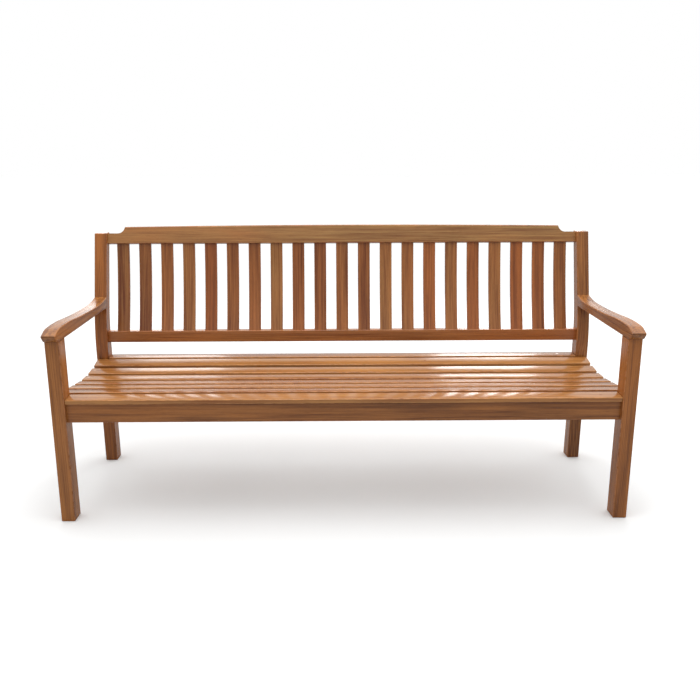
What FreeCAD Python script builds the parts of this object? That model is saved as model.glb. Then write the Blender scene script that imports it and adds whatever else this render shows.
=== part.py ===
import FreeCAD, Part

import math
import os

import Sketcher

# A slatted garden bench for three people, built as a joiner builds it: sawn back legs, straight front
# legs, shaped arms, tenoned rails, a crest rail with coved shoulders, thin bowed back slats, and seat
# slats screwed down to bearers that are cut to a comfortable dip.
#
# All lengths are millimetres and all angles are degrees. X runs along the bench, Y from its front to
# its back and Z up. The side views below are drawn with Y = 0 on the front faces of the front legs;
# placing a piece then moves it so that the finished bench stands centred on the origin.

SIZES = (
    # alias, value, what it measures
    ("overall_width", 1830, "outside faces of the left and right legs"),
    ("leg_width", 44, "every leg and arm, seen from the front"),
    ("front_leg_depth", 58, "front leg, seen from the side"),
    ("back_leg_setback", 516, "front foot's front face to back foot's front face"),
    ("back_leg_depth", 53, "back leg at the floor and the seat, seen from the side"),
    ("back_leg_top_depth", 42, "back leg at its top, seen from the side"),
    ("back_leg_height", 864, "top of the back legs"),
    ("splay", 1.63, "lean of the back legs below the seat"),
    ("rake", 15.6, "lean of the back legs above the bend"),
    ("bend_height", 516, "where the two straight runs of a back leg's front face would meet"),
    ("bend_rise", 21, "how much higher the back face bends"),
    ("bend_radius", 540, "easing of the bend"),
    ("leg_rounding", 2.5, "rounded long edges of the front legs"),
    ("leg_chamfer", 2, "eased edges of the back legs and of the front feet"),
    ("arm_height", 596, "underside of the arms"),
    ("arm_thickness", 41, "arm against the back leg"),
    ("arm_crown_thickness", 39.5, "arm at the ends of its crown"),
    ("arm_crown_bow", 2.5, "rise of the crown between its ends"),
    ("arm_waist", 29, "arm at its thinnest"),
    ("arm_nose", 25, "how far the arm reaches past the front leg"),
    ("arm_nose_rise", 25.5, "height of the nose's edge over the arm's underside"),
    ("arm_crown_front", 10, "where the crown starts"),
    ("arm_crown_back", 150, "where the crown ends"),
    ("arm_waist_place", 430, "where the arm is thinnest"),
    ("arm_nose_radius", 55, "roll of the nose"),
    ("arm_chamfer", 2.2, "eased edges of an arm"),
    ("seat_low_place", 325, "lowest line of the seat, from the front"),
    ("seat_low_height", 390, "top of the seat at its lowest line"),
    ("seat_dip_radius", 700, "hollow of the seat"),
    ("seat_front_slope", 6, "slope of the seat in front of the hollow"),
    ("seat_rear_slope", 11.3, "slope of the seat behind the hollow"),
    ("seat_rear_height", 413, "top of the rearmost slat"),
    ("seat_front_height", 411.5, "top of the front slat"),
    ("seat_front_tilt", 3.5, "fall of the front slat towards the knees"),
    ("seat_first_place", 29, "middle of the front slat"),
    ("seat_slat_pitch", 73.3, "from slat to slat, measured level"),
    ("seat_slat_width", 54, "seat slat"),
    ("seat_slat_thickness", 15, "seat slat"),
    ("seat_slat_inset", 6, "slat ends inside the outer faces of the legs"),
    ("seat_slat_rounding", 2.5, "rounded edges of a seat slat"),
    ("seat_end_gap", 1, "end slats clear of the legs they lie between"),
    ("rail_bottom", 332, "underside of the seat rails"),
    ("apron_setback", 15, "apron behind the front legs' faces"),
    ("apron_thickness", 25, "front apron"),
    ("rear_rail_place", 522, "front face of the rear seat rail"),
    ("rear_rail_thickness", 28, "rear seat rail"),
    ("side_rail_thickness", 30, "side seat rail"),
    ("bearer_thickness", 28, "middle seat bearer"),
    ("bearer_place", 305, "middle bearers, either side of the centre"),
    ("bearer_bottom", 338, "underside of the middle bearers"),
    ("rail_rounding", 2, "rounding along the rails"),
    ("lower_rail_bottom", 467, "underside of the lower back rail"),
    ("lower_rail_height", 42, "lower back rail"),
    ("lower_rail_thickness", 30, "lower back rail"),
    ("lower_rail_setback", 24, "lower back rail behind the back legs' bend"),
    ("crest_bottom", 826, "front lower edge of the crest rail"),
    ("crest_setback", 16, "crest rail behind the back legs' front faces"),
    ("crest_thickness", 25, "crest rail"),
    ("crest_shoulder_height", 37.5, "crest rail at its ends"),
    ("crest_shoulder_length", 35, "flat part of a shoulder"),
    ("crest_cove", 29, "width of the cove beside a shoulder"),
    ("crest_end_height", 62, "crest rail beside its coves"),
    ("crest_arch", 5.5, "rise of the crest over its whole length"),
    ("crest_rounding", 4.5, "rounding along the top of the crest rail"),
    ("back_slat_width", 44.5, "back slat"),
    ("back_slat_thickness", 12, "back slat"),
    ("back_slat_pitch", 81.6, "from back slat to back slat"),
    ("back_slat_bow", 9, "how far a back slat bows backwards"),
    ("back_slat_inset", 6, "back slats behind the front of their rails"),
    ("back_slat_chamfer", 1.2, "eased edges of a back slat"),
    ("tenon_thickness", 12, "tenons of the rails"),
    ("tenon_length", 21, "tenons into the legs"),
    ("tenon_shoulder", 6, "shoulder above and below a rail's tenon"),
    ("stub_length", 10, "tenons of the middle bearers"),
    ("slat_tenon_thickness", 8, "tenons of the back slats"),
    ("slat_tenon_length", 12, "tenons of the back slats"),
    ("slat_tenon_shoulder", 3, "shoulder at each edge of a back slat's tenon"),
    ("leg_tenon_depth", 36, "front leg's tenon into the arm, front to back"),
    ("leg_tenon_width", 22, "front leg's tenon into the arm, across"),
    ("mortise_ease", 0.2, "play on each side of a tenon"),
    ("mortise_end", 1.5, "room left past a tenon's end"),
    ("screw_diameter", 4, "seat screw's shank"),
    ("screw_head", 8, "seat screw's head"),
    ("screw_head_height", 2.4, "seat screw's countersunk head"),
    ("screw_length", 36, "seat screw with its head"),
    ("screw_inset", 62, "outer screws of the two slats between the legs, from their ends"),
    ("screw_inner_place", 250, "inner screws of the two slats between the legs"),
    ("plug_diameter", 10, "wooden plug over a screw"),
    ("plug_depth", 4, "wooden plug over a screw"),
    ("screw_ease", 0.1, "play round a screw and a plug"),
)

SEAT_SLATS = 8
BACK_SLATS = 21
SIDES = (("left", -1), ("right", 1))

# Lengths closer than this count as the same length.
SAME = 0.001


class Size:
    """A length or an angle: its value, and the sheet expression that keeps it up to date."""

    def __init__(self, value, text=None):
        self.value = float(value)
        self.text = text or repr(self.value)

    def __add__(self, other):
        other = size(other)
        return Size(self.value + other.value, f"({self.text} + {other.text})")

    def __sub__(self, other):
        other = size(other)
        return Size(self.value - other.value, f"({self.text} - {other.text})")

    def __mul__(self, other):
        other = size(other)
        return Size(self.value * other.value, f"({self.text} * {other.text})")

    def __truediv__(self, other):
        other = size(other)
        return Size(self.value / other.value, f"({self.text} / {other.text})")

    def __neg__(self):
        return Size(-self.value, f"(0 - {self.text})")


def size(value):
    return value if isinstance(value, Size) else Size(value)


def sine(angle):
    return Size(math.sin(math.radians(angle.value)), f"sin({angle.text})")


def cosine(angle):
    return Size(math.cos(math.radians(angle.value)), f"cos({angle.text})")


def tangent(angle):
    return Size(math.tan(math.radians(angle.value)), f"tan({angle.text})")


def arcsine(ratio):
    return Size(math.degrees(math.asin(ratio.value)), f"(asin({ratio.text}) / 1 deg)")


class Dimensions:
    """The driving dimensions, each read by its alias as a Size."""

    def __init__(self, document):
        self.sheet = document.addObject("Spreadsheet::Sheet", "Sizes")
        for row, (alias, value, meaning) in enumerate(SIZES, start=1):
            self.sheet.set(f"A{row}", alias.replace("_", " "))
            self.sheet.set(f"B{row}", str(value))
            self.sheet.set(f"C{row}", meaning)
            self.sheet.setAlias(f"B{row}", alias)
        document.recompute()

    def __getattr__(self, alias):
        return Size(self.sheet.get(alias), f"Sizes.{alias}")


doc = FreeCAD.newDocument("garden_bench")
dim = Dimensions(doc)
nodes = {}


# ---- Sketching helpers -------------------------------------------------------------------------


def bind(thing, name, value):
    thing.setExpression(name, value.text)


def new_body(name):
    body = doc.addObject("PartDesign::Body", name)
    body.Label = name
    return body


def new_sketch(body, name, role, offset=None):
    """An empty sketch on one of the body's own origin planes, moved along the plane's normal."""
    sketch = body.newObject("Sketcher::SketchObject", name)
    plane = next(item for item in body.Origin.OriginFeatures if item.Role == role)
    sketch.AttachmentSupport = [(plane, "")]
    sketch.MapMode = "FlatFace"
    if offset is not None:
        bind(sketch, "AttachmentOffset.Base.z", offset)
    return sketch


def hold_point(sketch, line, end, across, up):
    """Fix one end of a line by its two distances from the sketch's origin."""
    for kind, length in (("DistanceX", across), ("DistanceY", up)):
        index = sketch.addConstraint(Sketcher.Constraint(kind, -1, 1, line, end, length.value))
        sketch.setExpression(f"Constraints[{index}]", length.text)


def draw_outline(sketch, corners, bows=None):
    """
    Close an outline through the corners. An edge with a bow is an arc that swells by that much to
    the left of its own direction, or to the right when the bow is negative.
    """
    bows = bows or {}
    count = len(corners)
    ends = []
    for index, (across, up) in enumerate(corners):
        next_across, next_up = corners[(index + 1) % count]
        first = FreeCAD.Vector(across.value, up.value, 0)
        last = FreeCAD.Vector(next_across.value, next_up.value, 0)
        if index not in bows:
            sketch.addGeometry(Part.LineSegment(first, last), False)
            ends.append((1, 2))
            continue
        bow = bows[index]
        chord = last - first
        left = FreeCAD.Vector(-chord.y, chord.x, 0).normalize()
        depth = bow if bow.value > 0 else -bow
        run = next_across - across
        rise = next_up - up
        radius = (run * run + rise * rise) / (depth * 8) + depth / 2
        to_centre = (radius - depth).value * (-1 if bow.value > 0 else 1)
        centre = (first + last) / 2 + left * to_centre
        # An arc in a sketch turns anticlockwise, so one that swells to the left runs backwards.
        begin, finish = (last, first) if bow.value > 0 else (first, last)
        ends.append((2, 1) if bow.value > 0 else (1, 2))
        circle = Part.Circle(centre, FreeCAD.Vector(0, 0, 1), radius.value)
        angles = [math.atan2(point.y - centre.y, point.x - centre.x) for point in (begin, finish)]
        edge = sketch.addGeometry(Part.ArcOfCircle(circle, *angles), False)
        index = sketch.addConstraint(Sketcher.Constraint("Radius", edge, radius.value))
        sketch.setExpression(f"Constraints[{index}]", radius.text)
    for index in range(count):
        following = (index + 1) % count
        sketch.addConstraint(
            Sketcher.Constraint("Coincident", index, ends[index][1], following, ends[following][0])
        )
    for index, (across, up) in enumerate(corners):
        hold_point(sketch, index, ends[index][0], across, up)


def rectangle(low_across, high_across, low_up, high_up):
    return [
        (low_across, low_up),
        (high_across, low_up),
        (high_across, high_up),
        (low_across, high_up),
    ]


def pad_symmetric(body, name, corners, length, bows=None, role="YZ_Plane"):
    """Thicken an outline equally to both sides of its plane."""
    sketch = new_sketch(body, name + "_outline", role)
    draw_outline(sketch, corners, bows)
    pad = body.newObject("PartDesign::Pad", name)
    pad.Profile = sketch
    pad.SideType = "Symmetric"
    bind(pad, "Length", length)
    doc.recompute()
    return pad


def pad_up(body, name, corners, bottom, top):
    """Raise an outline from one height to another."""
    sketch = new_sketch(body, name + "_outline", "XY_Plane", bottom)
    draw_outline(sketch, corners)
    pad = body.newObject("PartDesign::Pad", name)
    pad.Profile = sketch
    bind(pad, "Length", top - bottom)
    doc.recompute()
    return pad


def cut_pocket(body, name, corners, role, offset, backwards=False, depth=None):
    """
    Cut an outline out of the body, from a plane in it and out through the face, or to a depth.
    """
    before = body.Shape.Volume
    sketch = new_sketch(body, name + "_outline", role, offset)
    draw_outline(sketch, corners)
    pocket = body.newObject("PartDesign::Pocket", name)
    pocket.Profile = sketch
    pocket.Reversed = backwards
    if depth is None:
        pocket.Type = "ThroughAll"
    else:
        bind(pocket, "Length", depth)
    doc.recompute()
    if body.Shape.Volume > before - 1:
        raise RuntimeError(f"{body.Label}: {name} cuts nothing")
    return pocket


def dress_edges(body, name, kind, radius, chosen):
    """Round or chamfer the edges of the body's last feature that the test chooses."""
    tip = body.Tip
    edges = [f"Edge{index}" for index, edge in enumerate(tip.Shape.Edges, start=1) if chosen(edge)]
    if not edges:
        raise RuntimeError(f"{body.Label}: {name} finds no edge")
    dress = body.newObject("PartDesign::" + kind, name)
    dress.Base = (tip, edges)
    bind(dress, "Radius" if kind == "Fillet" else "Size", radius)
    doc.recompute()
    return dress


def runs_along(edge, axis):
    """Whether an edge is straight and parallel to X, Y or Z."""
    box = edge.BoundBox
    lengths = {"X": box.XLength, "Y": box.YLength, "Z": box.ZLength}
    along = lengths.pop(axis)
    return along > 1 and max(lengths.values()) < SAME


def passes(edge, across, up):
    """Whether an edge along X passes through a point of the side view."""
    middle = edge.CenterOfMass
    return runs_along(edge, "X") and math.hypot(middle.y - across.value, middle.z - up.value) < SAME


def in_side_view(edge):
    """Whether an edge lies in a plane square to X."""
    return edge.BoundBox.XLength < SAME


def place(thing, across=size(0), back=size(0), up=size(0), tilt=None):
    """Stand a piece in the bench, leaning its top backwards by minus its tilt about X."""
    if tilt is not None and tilt.value != 0:
        turned = tilt.value < 0
        axis = FreeCAD.Vector(-1 if turned else 1, 0, 0)
        angle = -tilt if turned else tilt
        thing.Placement = FreeCAD.Placement(FreeCAD.Vector(), FreeCAD.Rotation(axis, angle.value))
        bind(thing, "Placement.Rotation.Angle", angle)
    bind(thing, "Placement.Base.x", across)
    bind(thing, "Placement.Base.y", back - middle_depth)
    bind(thing, "Placement.Base.z", up)


def grown(corners_low, corners_high, ease):
    """A mortise's rectangle: the tenon's, with play on every side."""
    (low_across, low_up), (high_across, high_up) = corners_low, corners_high
    return rectangle(low_across - ease, high_across + ease, low_up - ease, high_up + ease)


# ---- Lines of the side view that several pieces share ------------------------------------------

half_leg = dim.leg_width / 2
leg_centre = dim.overall_width / 2 - half_leg
inner_width = dim.overall_width - dim.leg_width * 2
mortise_depth = dim.tenon_length + dim.mortise_end
half_tenon = dim.tenon_thickness / 2

bend_place = dim.back_leg_setback - tangent(dim.splay) * dim.bend_height


def back_leg_front(height):
    """Front face of a back leg: one straight run up to the bend, another above it."""
    if height.value <= dim.bend_height.value:
        return dim.back_leg_setback - tangent(dim.splay) * height
    return bend_place + tangent(dim.rake) * (height - dim.bend_height)


crest_front = back_leg_front(dim.crest_bottom) + dim.crest_setback


def on_crest(back, up):
    """Side-view place of a point given along the crest rail's own thickness and height."""
    return (
        crest_front + cosine(dim.rake) * back + sine(dim.rake) * up,
        dim.crest_bottom - sine(dim.rake) * back + cosine(dim.rake) * up,
    )


crest_top = dim.crest_end_height + dim.crest_arch
rounded_edge = on_crest(dim.crest_thickness - dim.crest_rounding, crest_top - dim.crest_rounding)
deepest = rounded_edge[0] + dim.crest_rounding
middle_depth = (deepest - dim.arm_nose) / 2


def seat_line(back):
    """Height and slope of the seat's top at a distance from the front."""
    front_end = dim.seat_low_place - dim.seat_dip_radius * sine(dim.seat_front_slope)
    rear_end = dim.seat_low_place + dim.seat_dip_radius * sine(dim.seat_rear_slope)
    if back.value < front_end.value:
        slope = -dim.seat_front_slope
        near = front_end
    elif back.value > rear_end.value:
        slope = dim.seat_rear_slope
        near = rear_end
    else:
        slope = arcsine((back - dim.seat_low_place) / dim.seat_dip_radius)
        near = back
    in_dip = dim.seat_low_height + dim.seat_dip_radius * (size(1) - cosine(slope))
    return in_dip + (back - near) * tangent(slope), slope


class SeatSlat:
    """Where one seat slat lies, seen from the side. Number 1 is the front slat."""

    def __init__(self, number):
        self.number = number
        self.name = f"seat_slat_{number}"
        self.between_legs = number in (1, SEAT_SLATS)
        if number == SEAT_SLATS:
            self.place = back_leg_front(dim.seat_rear_height) + dim.back_leg_depth / 2
            self.height = dim.seat_rear_height
            self.slope = size(0)
            return
        self.place = dim.seat_first_place + dim.seat_slat_pitch * (number - 1)
        if number == 1:
            self.height = dim.seat_front_height
            self.slope = dim.seat_front_tilt
        else:
            self.height, self.slope = seat_line(self.place)

    def point(self, along, down):
        """A point given along the slat's width from its middle, and down from its top."""
        return (
            self.place + cosine(self.slope) * along + sine(self.slope) * down,
            self.height + sine(self.slope) * along - cosine(self.slope) * down,
        )

    def underside(self, back):
        """Height of the slat's underside at a distance from the front."""
        place_below, height_below = self.point(size(0), dim.seat_slat_thickness)
        return height_below + (back - place_below) * tangent(self.slope)

    def seat_corners(self):
        """The two ends of the flat that a bearer has for this slat, front first."""
        half = dim.seat_slat_width / 2
        return [
            self.point(-half, dim.seat_slat_thickness),
            self.point(half, dim.seat_slat_thickness),
        ]


seat_slats = [SeatSlat(number) for number in range(1, SEAT_SLATS + 1)]


# ---- Screws and plugs that hold the seat slats -------------------------------------------------


def screw_places(slat):
    """Distances along the bench of one slat's screws."""
    if slat.between_legs:
        outer = inner_width / 2 - dim.screw_inset
        inner = dim.screw_inner_place
    else:
        outer = leg_centre
        inner = dim.bearer_place
    return [-outer, -inner, inner, outer]


def round_bar(name, diameter, bottom, top):
    bar = doc.addObject("Part::Cylinder", name)
    bind(bar, "Radius", diameter / 2)
    bind(bar, "Height", top - bottom)
    bind(bar, "Placement.Base.z", bottom)
    return bar


def join(name, pieces):
    whole = doc.addObject("Part::MultiFuse", name)
    whole.Shapes = pieces
    return whole


def build_screw():
    """One countersunk screw, standing under the top of a slat."""
    head = doc.addObject("Part::Cone", "screw_cone")
    bind(head, "Radius1", dim.screw_diameter / 2)
    bind(head, "Radius2", dim.screw_head / 2)
    bind(head, "Height", dim.screw_head_height)
    bind(head, "Placement.Base.z", -(dim.plug_depth + dim.screw_head_height))
    tip = -(dim.plug_depth + dim.screw_length)
    shank = round_bar("screw_shank", dim.screw_diameter, tip, -(dim.plug_depth + 1))
    return join("screw_pattern", [head, shank])


def build_bore():
    """The hole for one screw: a wide mouth for the plug and head, and a narrow shank hole."""
    mouth_bottom = -(dim.plug_depth + dim.screw_head_height)
    mouth = round_bar("bore_mouth", dim.plug_diameter, mouth_bottom, size(1))
    narrow = dim.screw_diameter + dim.screw_ease * 2
    bottom = -(dim.plug_depth + dim.screw_length + dim.mortise_end)
    shank = round_bar("bore_shank", narrow, bottom, size(0))
    return join("bore_pattern", [mouth, shank])


def repeat_on_slats(name, pattern, slats):
    """One copy of the pattern at every screw of the slats, as a group of separate solids."""
    copies = []
    for slat in slats:
        for index, across in enumerate(screw_places(slat), start=1):
            copy = doc.addObject("App::Link", f"{name}_{slat.number}_{index}")
            copy.LinkedObject = pattern
            copy.LinkTransform = True
            place(copy, across, slat.place, slat.height, slat.slope)
            copies.append(copy)
    group = doc.addObject("Part::Compound", name)
    group.Label = name
    group.Links = copies
    doc.recompute()
    return group


bore = build_bore()
plug = round_bar("plug_pattern", dim.plug_diameter - dim.screw_ease * 2, -dim.plug_depth, size(0))
nodes["seat_screws"] = repeat_on_slats("seat_screws", build_screw(), seat_slats)
nodes["seat_screw_plugs"] = repeat_on_slats("seat_screw_plugs", plug, seat_slats)
bores = {slat.name: repeat_on_slats(f"bores_{slat.number}", bore, [slat]) for slat in seat_slats}


def drill(name, body, slats):
    """Take the screw holes of the slats out of a body, and keep the result as the node."""
    body.Label = name + "_undrilled"
    piece = body
    for step, slat in enumerate(slats, start=1):
        cut = doc.addObject("Part::Cut", f"{name}_drilled_{step}")
        cut.Base = piece
        cut.Tool = bores[slat.name]
        piece = cut
    piece.Label = name
    doc.recompute()
    nodes[name] = piece


# ---- Legs --------------------------------------------------------------------------------------


class Rail:
    """A straight rail between the legs, seen from the side: its section and its tenon's section."""

    def __init__(self, front, thickness, bottom, top):
        self.section = rectangle(front, front + thickness, bottom, top)
        middle = front + thickness / 2
        self.tenon_low = (middle - half_tenon, bottom + dim.tenon_shoulder)
        self.tenon_high = (middle + half_tenon, top - dim.tenon_shoulder)

    def tenon(self):
        return grown(self.tenon_low, self.tenon_high, size(0))

    def mortise(self):
        return grown(self.tenon_low, self.tenon_high, dim.mortise_ease)


apron_back = dim.apron_setback + dim.apron_thickness
apron_top_front = seat_slats[0].underside(dim.apron_setback)
apron_top_back = seat_slats[0].underside(apron_back)
rear_rail_top = dim.seat_rear_height - dim.seat_slat_thickness

apron = Rail(dim.apron_setback, dim.apron_thickness, dim.rail_bottom, apron_top_front)
apron.section[2] = (apron_back, apron_top_back)
rear_rail = Rail(dim.rear_rail_place, dim.rear_rail_thickness, dim.rail_bottom, rear_rail_top)
lower_rail = Rail(
    bend_place + dim.lower_rail_setback,
    dim.lower_rail_thickness,
    dim.lower_rail_bottom,
    dim.lower_rail_bottom + dim.lower_rail_height,
)

side_tenon_low = dim.rail_bottom + dim.tenon_shoulder * 2
side_tenon_high = dim.seat_low_height - dim.seat_slat_thickness - dim.tenon_shoulder
arm_tenon_low = dim.arm_height + dim.tenon_shoulder * 2
arm_tenon_high = dim.arm_height + dim.arm_waist - dim.tenon_shoulder / 2
leg_tenon_top = dim.arm_height + dim.tenon_length


def crest_tenon(ease):
    """Outline of the crest rail's tenon in the side view, leaning with the rail."""
    middle = dim.crest_thickness / 2
    low_back = middle - half_tenon - ease
    high_back = middle + half_tenon + ease
    low_up = dim.tenon_shoulder - ease
    high_up = dim.crest_shoulder_height - dim.tenon_shoulder + ease
    return [on_crest(back, up) for back, up in rectangle(low_back, high_back, low_up, high_up)]


def cut_inner_mortise(body, name, corners, side):
    """A mortise in the face of a leg that looks towards the middle of the bench."""
    floor_of_mortise = (half_leg - mortise_depth) * -side
    cut_pocket(body, name, corners, "YZ_Plane", floor_of_mortise, backwards=side < 0)


def build_front_leg(name, side):
    """A straight post with a chamfered foot and a tenon at its top for the arm."""
    body = new_body(name)
    outline = rectangle(-half_leg, half_leg, size(0), dim.front_leg_depth)
    pad_up(body, "post", outline, size(0), dim.arm_height)
    dress_edges(body, "long_edges", "Fillet", dim.leg_rounding, lambda edge: runs_along(edge, "Z"))
    dress_edges(body, "foot_edges", "Chamfer", dim.leg_chamfer, lambda edge: edge.BoundBox.ZMax < SAME)
    middle = dim.front_leg_depth / 2
    half_width = dim.leg_tenon_width / 2
    half_depth = dim.leg_tenon_depth / 2
    tenon = rectangle(-half_width, half_width, middle - half_depth, middle + half_depth)
    pad_up(body, "arm_tenon", tenon, dim.arm_height / 2, leg_tenon_top)
    cut_inner_mortise(body, "apron_mortise", apron.mortise(), side)
    side_mortise = grown((-half_tenon, side_tenon_low), (half_tenon, side_tenon_high), dim.mortise_ease)
    cut_pocket(body, "side_mortise", side_mortise, "XZ_Plane", mortise_depth - dim.front_leg_depth)
    place(body, leg_centre * side)
    nodes[name] = body


def build_back_leg(name, side):
    """A sawn leg that splays a little below the seat and leans back above it."""
    body = new_body(name)
    bend_back_height = dim.bend_height + dim.bend_rise
    bend_back = dim.back_leg_setback - tangent(dim.splay) * bend_back_height + dim.back_leg_depth
    top_front = back_leg_front(dim.back_leg_height)
    outline = [
        (dim.back_leg_setback, size(0)),
        (dim.back_leg_setback + dim.back_leg_depth, size(0)),
        (bend_back, bend_back_height),
        (top_front + dim.back_leg_top_depth, dim.back_leg_height),
        (top_front, dim.back_leg_height),
        (bend_place, dim.bend_height),
    ]
    pad_symmetric(body, "leg", outline, dim.leg_width)
    bends = ((bend_place, dim.bend_height), (bend_back, bend_back_height))
    dress_edges(
        body,
        "bends",
        "Fillet",
        dim.bend_radius,
        lambda edge: any(passes(edge, across, up) for across, up in bends),
    )
    top = dim.back_leg_height.value
    dress_edges(
        body,
        "edges",
        "Chamfer",
        dim.leg_chamfer,
        lambda edge: in_side_view(edge)
        or (runs_along(edge, "X") and min(edge.BoundBox.ZMin, top - edge.BoundBox.ZMax) < SAME),
    )
    cut_inner_mortise(body, "rear_rail_mortise", rear_rail.mortise(), side)
    cut_inner_mortise(body, "lower_rail_mortise", lower_rail.mortise(), side)
    cut_inner_mortise(body, "crest_mortise", crest_tenon(dim.mortise_ease), side)
    for label, low, high in (
        ("side_mortise", side_tenon_low, side_tenon_high),
        ("arm_mortise", arm_tenon_low, arm_tenon_high),
    ):
        opening = grown((-half_tenon, low), (half_tenon, high), dim.mortise_ease)
        floor_of_mortise = back_leg_front(low) + mortise_depth
        cut_pocket(body, label, opening, "XZ_Plane", -floor_of_mortise, backwards=True)
    place(body, leg_centre * side)
    nodes[name] = body


# ---- Arms --------------------------------------------------------------------------------------


def build_arm(name, side):
    """An arm with a rolled nose, a long shallow waist and a flare against the back leg."""
    body = new_body(name)
    bottom = dim.arm_height
    crown = bottom + dim.arm_crown_thickness
    flare = bottom + dim.arm_thickness
    nose_edge = bottom + dim.arm_nose_rise
    nose_foot = bottom + dim.arm_nose_rise * 0.8
    undercut = (-dim.arm_nose * 0.55, bottom + dim.arm_nose_rise * 0.25)
    nose_top = (dim.arm_crown_front, crown)
    crown_end = (dim.arm_crown_back, crown)
    waist = (dim.arm_waist_place, bottom + dim.arm_waist)
    outline = [
        (size(0), bottom),
        (back_leg_front(bottom), bottom),
        (back_leg_front(flare), flare),
        waist,
        crown_end,
        nose_top,
        (-dim.arm_nose, nose_edge),
        (-dim.arm_nose, nose_foot),
        undercut,
    ]
    # An arc that starts level sags from its chord by a quarter of its fall.
    bows = {
        2: (dim.arm_thickness - dim.arm_waist) / 4,
        3: (dim.arm_crown_thickness - dim.arm_waist) / 4,
        4: -dim.arm_crown_bow,
    }
    pad_symmetric(body, "arm", outline, dim.leg_width, bows)
    dress_edges(
        body, "nose_roll", "Fillet", dim.arm_nose_radius, lambda edge: passes(edge, *nose_top)
    )
    at_leg = back_leg_front(bottom).value
    dress_edges(
        body,
        "edges",
        "Chamfer",
        dim.arm_chamfer,
        lambda edge: in_side_view(edge) and edge.CenterOfMass.y < at_leg,
    )
    tenon = rectangle(
        waist[0],
        back_leg_front(arm_tenon_low) + dim.tenon_length,
        arm_tenon_low,
        arm_tenon_high,
    )
    pad_symmetric(body, "leg_tenon", tenon, dim.tenon_thickness)
    middle = dim.front_leg_depth / 2
    half_width = dim.leg_tenon_width / 2
    half_depth = dim.leg_tenon_depth / 2
    opening = grown(
        (-half_width, middle - half_depth),
        (half_width, middle + half_depth),
        dim.mortise_ease,
    )
    roof = leg_tenon_top + dim.mortise_end
    cut_pocket(body, "leg_mortise", opening, "XY_Plane", roof)
    place(body, leg_centre * side)
    nodes[name] = body


# ---- Rails -------------------------------------------------------------------------------------


def round_long_edges(body):
    shoulder = inner_width.value - 1
    dress_edges(
        body,
        "long_edges",
        "Fillet",
        dim.rail_rounding,
        lambda edge: runs_along(edge, "X") and edge.Length > shoulder,
    )


def build_rail(name, rail):
    """A rail between the legs with a tenon at each end."""
    body = new_body(name)
    pad_symmetric(body, "rail", rail.section, inner_width)
    round_long_edges(body)
    pad_symmetric(body, "tenons", rail.tenon(), inner_width + dim.tenon_length * 2)
    return body


def bearer_mortise(body, name, side, floor_of_mortise, backwards):
    middle = dim.bearer_place * side
    opening = grown(
        (middle - half_tenon, side_tenon_low),
        (middle + half_tenon, side_tenon_high),
        dim.mortise_ease,
    )
    cut_pocket(body, name, opening, "XZ_Plane", -floor_of_mortise, backwards)


def build_front_apron():
    body = build_rail("front_apron", apron)
    stub_floor = apron_back - dim.stub_length - dim.mortise_end
    for label, side in SIDES:
        bearer_mortise(body, f"bearer_mortise_{label}", side, stub_floor, backwards=False)
    place(body)
    drill("front_apron", body, seat_slats[:1])


def build_rear_seat_rail():
    body = build_rail("rear_seat_rail", rear_rail)
    stub_floor = dim.rear_rail_place + dim.stub_length + dim.mortise_end
    for label, side in SIDES:
        bearer_mortise(body, f"bearer_mortise_{label}", side, stub_floor, backwards=True)
    place(body)
    drill("rear_seat_rail", body, seat_slats[-1:])


def pattern_slat_mortises(body, pocket):
    """Repeat the first slat mortise along a rail."""
    pattern = body.newObject("PartDesign::LinearPattern", "slat_mortises")
    pattern.Originals = [pocket]
    axis = next(item for item in body.Origin.OriginFeatures if item.Role == "X_Axis")
    pattern.Direction = (axis, [""])
    pattern.Occurrences = BACK_SLATS
    bind(pattern, "Length", dim.back_slat_pitch * (BACK_SLATS - 1))
    body.Tip = pattern
    before = pocket.Shape.Volume
    doc.recompute()
    if pattern.Shape.Volume > before - 1:
        raise RuntimeError(f"{body.Label}: the slat mortises are not repeated")


first_back_slat = -dim.back_slat_pitch * ((BACK_SLATS - 1) / 2)
half_slat_tenon = dim.back_slat_width / 2 - dim.slat_tenon_shoulder
slat_tenon_inset = dim.back_slat_inset + (dim.back_slat_thickness - dim.slat_tenon_thickness) / 2
slat_mortise_depth = dim.slat_tenon_length + dim.mortise_end


def first_slat_mortise(front):
    """Plan outline of the leftmost slat mortise in a rail with the given front face."""
    return grown(
        (first_back_slat - half_slat_tenon, front + slat_tenon_inset),
        (first_back_slat + half_slat_tenon, front + slat_tenon_inset + dim.slat_tenon_thickness),
        dim.mortise_ease,
    )


def build_lower_back_rail():
    name = "lower_back_rail"
    body = build_rail(name, lower_rail)
    top = dim.lower_rail_bottom + dim.lower_rail_height
    opening = first_slat_mortise(lower_rail.section[0][0])
    pocket = cut_pocket(
        body, "slat_mortise", opening, "XY_Plane", top - slat_mortise_depth, backwards=True
    )
    pattern_slat_mortises(body, pocket)
    place(body)
    nodes[name] = body


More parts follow.
